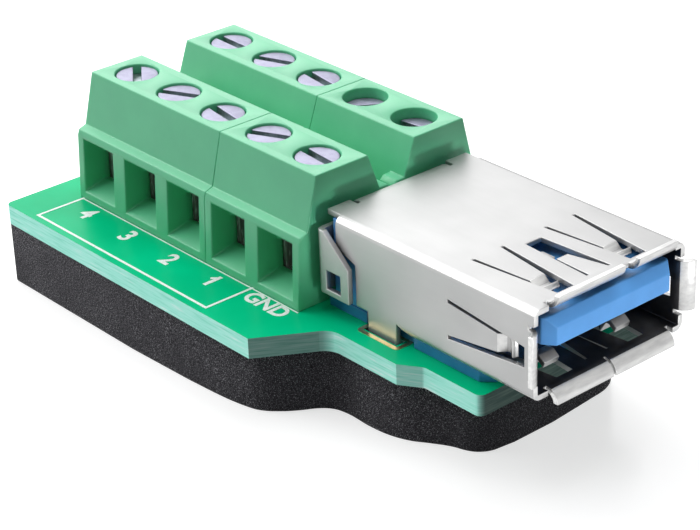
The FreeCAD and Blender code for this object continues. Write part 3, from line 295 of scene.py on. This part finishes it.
bpy.ops.mesh.remove_doubles(threshold=1e-7)
bpy.ops.mesh.normals_make_consistent(inside=False)
bpy.ops.object.mode_set(mode="OBJECT")
# The pad gives way to this depth round each solder pin, contact tail and leg of the shell.
pad_dent = 1.3 * mm
pin_setback, pin_room = 2.1 * mm, 0.9 * mm
tail_setback, tail_room = 0.13 * mm, 0.45 * mm
pin_boxes = []
for node in frame["nodes"]:
    if "contact" in node:
        low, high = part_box(node)
        middle = (low + high) / 2
        if "solder" in node:
            inwards = -1 if middle.y > 0 else 1
            pin_boxes.append((middle.x, middle.y + inwards * pin_setback, pin_room))
        else:
            pin_boxes.append((low.x + tail_setback, middle.y, tail_room))
carved(pad, [
    ((x - room, y - room, pad_high.z - pad_dent), (x + room, y + room, pad_high.z + mm))
    for x, y, room in pin_boxes
])
shell_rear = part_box("usb_shell")[0].x
leg_from, leg_to = shell_rear + 4.2 * mm, shell_rear + 7.3 * mm
leg_line, leg_room = 6.5 * mm, 0.4 * mm
carved(pad, [
    ((leg_from, side * leg_line - leg_room, pad_high.z - pad_dent),
     (leg_to, side * leg_line + leg_room, pad_high.z + mm))
    for side in (-1, 1)
])
foam, tree, shader, place = new_finish("black_foam")
cells = tree.nodes.new("ShaderNodeTexVoronoi")
cells.inputs["Scale"].default_value = 1 / (0.16 * mm)
tree.links.new(place, cells.inputs["Vector"])
grit = mottle(tree, place, 0.11 * mm, 4)
dust = mottle(tree, place, 0.07 * mm, 2)
patches = mottle(tree, place, 5 * mm, 2)
# The pale specks are painted glints of the burst cells, thinned out in random patches.
painted_glints = tones(tree, dust, [(0.0, (0, 0, 0)), (0.55, (0, 0, 0)), (0.70, (0.55, 0.55, 0.58))])
dark = tones(tree, grit, [(0.35, (0.005, 0.005, 0.007)), (0.62, (0.075, 0.072, 0.082))])
glint_patches = tones(tree, patches, [(0.3, (0.35, 0.35, 0.35)), (0.6, (1, 1, 1))])
patchy_painted_glints = mixed(tree, painted_glints, glint_patches, "MULTIPLY")
tree.links.new(mixed(tree, dark, patchy_painted_glints, "ADD"), shader.inputs["Base Color"])
shader.inputs["Roughness"].default_value = 0.85
shader.inputs["Specular IOR Level"].default_value = 0.25
relief(tree, shader, cells.outputs["Distance"], 0.05 * mm)
pad.data.materials.clear()
pad.data.materials.append(foam)
bpy.ops.object.shade_smooth_by_angle(angle=radians(35))
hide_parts("foam_pad")
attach(pad, "root")

# The circuit board: glass-epoxy sheet with a glossy green solder mask on both faces. Its routed
# edge is bare and shows the pale layers of glass cloth.
board_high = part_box("circuit_board")[1]
mask, tree, shader, place = new_finish("solder_mask")
split = tree.nodes.new("ShaderNodeSeparateXYZ")
geometry = tree.nodes.new("ShaderNodeNewGeometry")
tree.links.new(geometry.outputs["Normal"], split.inputs["Vector"])
flat = tree.nodes.new("ShaderNodeMath")
flat.operation = "ABSOLUTE"
tree.links.new(split.outputs["Z"], flat.inputs[0])
facing = tree.nodes.new("ShaderNodeMath")
facing.operation = "GREATER_THAN"
facing.inputs[1].default_value = 0.7
tree.links.new(flat.outputs[0], facing.inputs[0])
lacquer = mottle(tree, place, 6 * mm, 2)
green = tones(tree, lacquer, [(0.3, (0.0, 0.48, 0.21)), (0.7, (0.0, 0.57, 0.26))])
layers = mottle(tree, place, 0.7 * mm, 5, stretch=(0.3, 0.3, 5))
glass = tones(tree, layers, [
    (0.28, (0.30, 0.82, 0.66)), (0.45, (0.42, 0.93, 0.80)), (0.60, (0.50, 0.96, 0.85)),
    (0.75, (0.80, 0.98, 0.94))])
# Painted shade: the edge that faces forwards, away from the lamps, is coloured dark.
front_edge_painted_shade = tones(tree, layers, [(0.3, (0.05, 0.09, 0.08)), (0.7, (0.12, 0.18, 0.16))])
forwards = tree.nodes.new("ShaderNodeMapRange")
forwards.inputs["From Min"].default_value = 0.3
tree.links.new(split.outputs["X"], forwards.inputs["Value"])
edge = mixed(tree, glass, front_edge_painted_shade, level=forwards.outputs["Result"])
tree.links.new(mixed(tree, edge, green, level=facing.outputs[0]), shader.inputs["Base Color"])
gloss = tree.nodes.new("ShaderNodeMapRange")
gloss.inputs["To Min"].default_value = 0.6
gloss.inputs["To Max"].default_value = 0.28
tree.links.new(facing.outputs[0], gloss.inputs["Value"])
tree.links.new(gloss.outputs["Result"], shader.inputs["Roughness"])
relief(tree, shader, layers, 0.02 * mm)
shader.inputs["Specular IOR Level"].default_value = 0.05
glint = tree.nodes.new("ShaderNodeMapRange")
glint.inputs["To Min"].default_value = 0.45
glint.inputs["To Max"].default_value = 0.0
tree.links.new(facing.outputs[0], glint.inputs["Value"])
tree.links.new(glint.outputs["Result"], shader.inputs["Metallic"])
board = frame["nodes"]["circuit_board"]
board.data.materials.clear()
board.data.materials.append(mask)

# The print on the board: white ink, screen-printed over the solder mask along the near row. A
# box with the numbers of the entries, a rule at the foot of the block, and the ground mark.
ink, tree, shader, place = new_finish("white_ink")
ink_grain = mottle(tree, place, 0.12 * mm, 3)
tree.links.new(tones(tree, ink_grain, [(0.3, (0.74, 0.80, 0.77)), (0.6, (0.93, 0.95, 0.94))]),
               shader.inputs["Base Color"])
shader.inputs["Roughness"].default_value = 0.55
relief(tree, shader, ink_grain, 0.01 * mm)
ink_height = 0.02 * mm
coat_rise = 0.003 * mm
line_width = 0.2 * mm
font_share = 1.38  # size of the font over the height of its figures
font_swell = 0.055 * mm  # how much bolder than the font the figures are


def printed_line(name, start, end, width, coat):
    """A straight line of ink between two spots. Each coat lies on the coats before it."""
    first, last = Vector((*start, 0)) * mm, Vector((*end, 0)) * mm
    length = (last - first).length
    bpy.ops.object.select_all(action="DESELECT")
    bpy.ops.mesh.primitive_plane_add(size=1)
    line = bpy.context.active_object
    line.name = name
    line.scale = (length + width, width, 1)
    bpy.ops.object.transform_apply(location=False, rotation=False, scale=True)
    line.rotation_euler.z = (last - first).to_2d().angle_signed(Vector((1, 0)))
    line.location = (first + last) / 2 + Vector((0, 0, board_high.z))
    bpy.ops.object.transform_apply(location=True, rotation=True, scale=True)
    bpy.ops.object.mode_set(mode="EDIT")
    bpy.ops.mesh.select_all(action="SELECT")
    rise = (0, 0, ink_height + coat * coat_rise)
    bpy.ops.mesh.extrude_region_move(TRANSFORM_OT_translate={"value": rise})
    bpy.ops.object.mode_set(mode="OBJECT")
    return line


def printed_word(name, word, spot, height):
    """A word of ink, centred on a spot of the board and reading along the row."""
    bpy.ops.object.select_all(action="DESELECT")
    bpy.ops.object.text_add()
    text = bpy.context.active_object
    text.name = name
    text.data.body = word
    text.data.size = height * font_share
    text.data.align_x = "CENTER"
    text.data.align_y = "CENTER"
    text.data.extrude = ink_height / 2
    text.data.offset = font_swell
    text.location = (spot[0] * mm, spot[1] * mm, board_high.z + ink_height / 2)
    bpy.ops.object.convert(target="MESH")
    bpy.ops.object.transform_apply(location=True, rotation=True, scale=True)
    return bpy.context.active_object


box_corners = [(-20.8, -8.55), (-20.8, -12.55), (-1.1, -12.5), (-1.1, -8.55)]
prints = [
    printed_line(f"print_box_{number}", box_corners[number], box_corners[number + 1],
                 line_width, number)
    for number in range(3)
]
prints.append(printed_line("print_rule", (-20.8, -8.6), (3.7, -8.6), 0.1 * mm, 3))
for number, word, spot in ((1, "4", (-18.4, -9.9)), (2, "3", (-13.45, -9.95)),
                           (3, "2", (-8.45, -10.05)), (4, "1", (-3.8, -9.9))):
    prints.append(printed_word(f"print_number_{number}", word, spot, 1.5 * mm))
prints.append(printed_line("print_flag", (-4.12, -9.62), (-3.8, -9.3), 0.24 * mm, 4))
prints.append(printed_word("print_ground", "GND", (1.4, -9.4), 1.28 * mm))
bpy.ops.object.select_all(action="DESELECT")
for item in prints:
    item.select_set(True)
bpy.context.view_layer.objects.active = prints[0]
bpy.ops.object.join()
board_print = bpy.context.active_object
board_print.name = "board_print"
board_print.data.materials.clear()
board_print.data.materials.append(ink)
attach(board_print, "root")

# The terminal housings: satin green polyamide mouldings. Every edge is a little rounded by the
# mould, and light sinks into the thin walls.
green_plastic, tree, shader, place = new_finish("green_polyamide")
cloud = mottle(tree, place, 3 * mm, 3)
tree.links.new(tones(tree, cloud, [(0.3, (0.10, 0.53, 0.28)), (0.7, (0.12, 0.58, 0.31))]),
               shader.inputs["Base Color"])
shader.inputs["Specular IOR Level"].default_value = 0.6
skin = mottle(tree, place, 0.15 * mm, 3)
satin(tree, shader, cloud, 0.32, 0.42)
relief(tree, shader, skin, 0.006 * mm)
shader.inputs["Subsurface Weight"].default_value = 0.12
shader.inputs["Subsurface Radius"].default_value = (0.5 * mm, 1.0 * mm, 0.6 * mm)
shader.inputs["Subsurface Scale"].default_value = 1.0


def softened(node, body, finish, width):
    """A copy of a CAD piece with its sharp edges rounded, which stands for that piece."""
    only(frame["nodes"][node])
    bpy.ops.object.duplicate()
    piece = bpy.context.active_object
    piece.name = node + "_finished"
    piece.parent = None
    del piece["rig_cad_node"]
    bpy.ops.object.mode_set(mode="EDIT")
    bpy.ops.mesh.select_all(action="SELECT")
    bpy.ops.mesh.remove_doubles(threshold=1e-6)
    bpy.ops.mesh.tris_convert_to_quads(face_threshold=radians(0.5), shape_threshold=radians(60))
    bpy.ops.object.mode_set(mode="OBJECT")
    edges = piece.modifiers.new("edges", "BEVEL")
    edges.width = width
    edges.segments = 2
    edges.limit_method = "ANGLE"
    edges.angle_limit = radians(20)
    edges.loop_slide = False
    edges.use_clamp_overlap = False
    bpy.ops.object.modifier_apply(modifier=edges.name)
    bpy.ops.object.shade_smooth_by_angle(angle=radians(40))
    weighing = piece.modifiers.new("weighing", "WEIGHTED_NORMAL")
    weighing.keep_sharp = True
    bpy.ops.object.modifier_apply(modifier=weighing.name)
    piece.data.materials.clear()
    piece.data.materials.append(finish)
    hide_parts(node)
    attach(piece, body)
    return piece


for node in sorted(frame["nodes"]):
    if "terminal_housing" in node:
        softened(node, "root", green_plastic, 0.08 * mm)

# The clamp screws: turned steel, zinc plated, with a slotted cheese head that shows fine turning
# rings. Each stands in its own well, and the rings follow its own map, centred on its axis.
zinc, tree, shader, place = new_finish("zinc_plate")
shader.inputs["Metallic"].default_value = 1.0
haze = mottle(tree, place, 0.5 * mm, 3)
tree.links.new(tones(tree, haze, [(0.3, (0.26, 0.25, 0.34)), (0.7, (0.33, 0.33, 0.42))]),
               shader.inputs["Base Color"])
satin(tree, shader, haze, 0.45, 0.6)
turned = tree.nodes.new("ShaderNodeUVMap")
turned.uv_map = "turning"
rings = tree.nodes.new("ShaderNodeTexWave")
rings.wave_type = "RINGS"
rings.rings_direction = "SPHERICAL"
rings.inputs["Scale"].default_value = 2.2
rings.inputs["Distortion"].default_value = 0.6
tree.links.new(turned.outputs["UV"], rings.inputs["Vector"])
relief(tree, shader, rings.outputs["Fac"], 0.006 * mm)
shade, tree, shader, place = new_finish("oiled_slot")
shader.inputs["Metallic"].default_value = 1.0
film = mottle(tree, place, 0.3 * mm, 3)
tree.links.new(tones(tree, film, [(0.3, (0.22, 0.27, 0.29)), (0.7, (0.42, 0.47, 0.50))]),
               shader.inputs["Base Color"])
satin(tree, shader, film, 0.3, 0.5)
slot_depth = 0.55 * mm
slot_reach = 1.35 * mm
for body in sorted(frame["bodies"]):
    if "screw" in body:
        node = body.replace("screw", "clamp_screw")
        screw = softened(node, body, zinc, 0.05 * mm)
        screw.data.materials.append(shade)
        low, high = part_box(node)
        axis = (low + high) / 2
        turning = screw.data.uv_layers.new(name="turning")
        for corner, loop in zip(turning.data, screw.data.loops):
            corner.uv = (screw.data.vertices[loop.vertex_index].co - axis).xy / mm
        for face in screw.data.polygons:
            in_head = (face.center - axis).to_2d().length < slot_reach
            sunk = high.z - 1.2 * slot_depth < face.center.z < high.z - 0.1 * slot_depth
            if in_head and sunk:
                face.material_index = 1

# The clamp cages and solder contacts: nickel-plated and tinned strip, seen only down the wire
# entries.
# Their pale streaks are partly rubbed plating and partly painted highlight, for edges that catch
# a little light.
dull_nickel, tree, shader, place = new_finish("dull_nickel")
shader.inputs["Metallic"].default_value = 0.3
streaks_and_painted_glints = mottle(tree, place, 0.3 * mm, 4, stretch=(2, 2, 0.3))
tree.links.new(tones(tree, streaks_and_painted_glints, [(0.35, (0.25, 0.20, 0.20)), (0.55, (0.34, 0.28, 0.28)),
                                     (0.68, (0.85, 0.83, 0.82))]), shader.inputs["Base Color"])
satin(tree, shader, streaks_and_painted_glints, 0.3, 0.5)
relief(tree, shader, streaks_and_painted_glints, 0.01 * mm)
for node, item in frame["nodes"].items():
    if "cage" in node or "solder_contact" in node:
        item.data.materials.clear()
        item.data.materials.append(dull_nickel)

# The receptacle's insulator and riser: blue thermoplastic with a fine spark-eroded skin, moulded
# round the contacts. The riser is a separate frame that lifts the shell off the board.
blue_plastic, tree, shader, place = new_finish("blue_thermoplastic")
cloud = mottle(tree, place, 2 * mm, 3)
tree.links.new(tones(tree, cloud, [(0.3, (0.09, 0.33, 0.76)), (0.7, (0.11, 0.38, 0.84))]),
               shader.inputs["Base Color"])
satin(tree, shader, cloud, 0.35, 0.5)
relief(tree, shader, mottle(tree, place, 0.07 * mm, 3), 0.008 * mm)
softened("usb_insulator", "root", blue_plastic, 0.08 * mm)
# Painted shade: the riser's blue is a darker copy of the insulator's, for the shade it stands in
# under the shell.
painted_shade_blue, tree, shader, place = new_finish("blue_thermoplastic_painted_shade")
cloud = mottle(tree, place, 2 * mm, 3)
tree.links.new(tones(tree, cloud, [(0.3, (0.02, 0.20, 0.46)), (0.7, (0.03, 0.26, 0.54))]),
               shader.inputs["Base Color"])
satin(tree, shader, cloud, 0.4, 0.55)
relief(tree, shader, mottle(tree, place, 0.07 * mm, 3), 0.008 * mm)
softened("usb_riser", "root", painted_shade_blue, 0.06 * mm)

# The receptacle's contacts: copper alloy strip with a thin flash of gold where the plug slides.
gold, tree, shader, place = new_finish("gold_flash")
shader.inputs["Metallic"].default_value = 1.0
tarnish = mottle(tree, place, 0.6 * mm, 3)
tree.links.new(tones(tree, tarnish, [(0.3, (0.70, 0.50, 0.22)), (0.7, (0.90, 0.72, 0.38))]),
               shader.inputs["Base Color"])
satin(tree, shader, tarnish, 0.22, 0.38)
for node, item in frame["nodes"].items():
    if "usb_flat" in node or "usb_sprung" in node:
        item.data.materials.clear()
        item.data.materials.append(gold)

# The lands around the shell's legs: copper left bare of solder mask and plated with gold, one
# flat ring round each slot of the board.
land_rear, land_front = 8.1 * mm, 12.05 * mm
land_inside, land_outside = 5.75 * mm, 7.35 * mm
land_width = 0.32 * mm
land_height = 0.03 * mm


def gold_land(name, low, high):
    """A flat ring with rounded corners on top of the board, between two corners."""
    bpy.ops.object.select_all(action="DESELECT")
    bpy.ops.mesh.primitive_plane_add(size=1)
    land = bpy.context.active_object
    land.name = name
    land.scale = high - low
    land.location = (low + high) / 2
    bpy.ops.object.transform_apply(location=True, rotation=True, scale=True)
    bpy.ops.object.mode_set(mode="EDIT")
    bpy.ops.mesh.select_all(action="SELECT")
    bpy.ops.mesh.bevel(offset=land_width, segments=4, affect="VERTICES")
    bpy.ops.mesh.inset(thickness=land_width)
    bpy.ops.mesh.delete(type="FACE")
    bpy.ops.mesh.select_all(action="SELECT")
    bpy.ops.mesh.extrude_region_move(TRANSFORM_OT_translate={"value": (0, 0, land_height)})
    bpy.ops.mesh.select_all(action="SELECT")
    bpy.ops.mesh.normals_make_consistent(inside=False)
    bpy.ops.object.mode_set(mode="OBJECT")
    land.data.materials.append(gold)
    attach(land, "root")


gold_land("leg_land_near", Vector((land_rear, -land_outside, board_high.z)),
          Vector((land_front, -land_inside, board_high.z)))
gold_land("leg_land_far", Vector((land_rear, land_inside, board_high.z)),
          Vector((land_front, land_outside, board_high.z)))

# The receptacle's shell: one sheet of nickel-plated steel, stamped, folded round the insulator
# and closed along a seam underneath. Its springs are cut free and its lips flared.
nickel, tree, shader, place = new_finish("bright_nickel")
shader.inputs["Metallic"].default_value = 1.0
rolling = mottle(tree, place, 0.6 * mm, 4, stretch=(0.15, 1.5, 1.5))
blush = mottle(tree, place, 4 * mm, 2)
tree.links.new(tones(tree, blush, [(0.3, (0.40, 0.40, 0.40)), (0.7, (0.44, 0.44, 0.44))]),
               shader.inputs["Base Color"])
satin(tree, shader, rolling, 0.44, 0.52)
relief(tree, shader, rolling, 0.005 * mm)
# Painted shade: the walls inside the mouth are coloured near black, because little light gets in
# there.
inside, tree, shader, place = new_finish("painted_shade_inside")
shader.inputs["Metallic"].default_value = 1.0
painted_shade_mottle = mottle(tree, place, 1.2 * mm, 3)
tree.links.new(tones(tree, painted_shade_mottle, [(0.3, (0.055, 0.055, 0.06)), (0.7, (0.10, 0.10, 0.105))]),
               shader.inputs["Base Color"])
satin(tree, shader, painted_shade_mottle, 0.38, 0.5)
# The lips and cut edges: paler metal, partly real burnish and partly painted highlight.
burnish_and_painted_highlight, tree, shader, place = new_finish("burnished_edge_and_painted_highlight")
shader.inputs["Metallic"].default_value = 1.0
burr = mottle(tree, place, 0.5 * mm, 4, stretch=(2, 0.4, 2))
tree.links.new(tones(tree, burr, [(0.3, (0.56, 0.56, 0.56)), (0.65, (0.70, 0.70, 0.69))]),
               shader.inputs["Base Color"])
satin(tree, shader, burr, 0.3, 0.45)
relief(tree, shader, burr, 0.003 * mm)
shell = softened("usb_shell", "root", nickel, 0.05 * mm)
shell.data.materials.append(inside)
shell.data.materials.append(burnish_and_painted_highlight)
tube_half, tube_floor, tube_roof = 6.3 * mm, 7.5 * mm, 12.95 * mm
tube_front, near_wall, sheet = 23.6 * mm, 0.12 * mm, 0.4 * mm
flatness = 0.9
middle = Vector((0, 0, (tube_floor + tube_roof) / 2))
for face in shell.data.polygons:
    spot = face.center
    room = min(tube_half - abs(spot.y), spot.z - tube_floor, tube_roof - spot.z)
    inwards = (spot - middle).yz.dot(face.normal.yz) < 0
    flat = max(abs(face.normal.y), abs(face.normal.z)) > flatness
    # Inner walls of the tube take the painted shade.
    if abs(room) < near_wall and inwards and spot.x < tube_front:
        face.material_index = 1
    # Lips and cut edges take the paler finish, partly painted highlight.
    elif spot.x > tube_front or (-sheet < room < 0 and not flat):
        face.material_index = 2
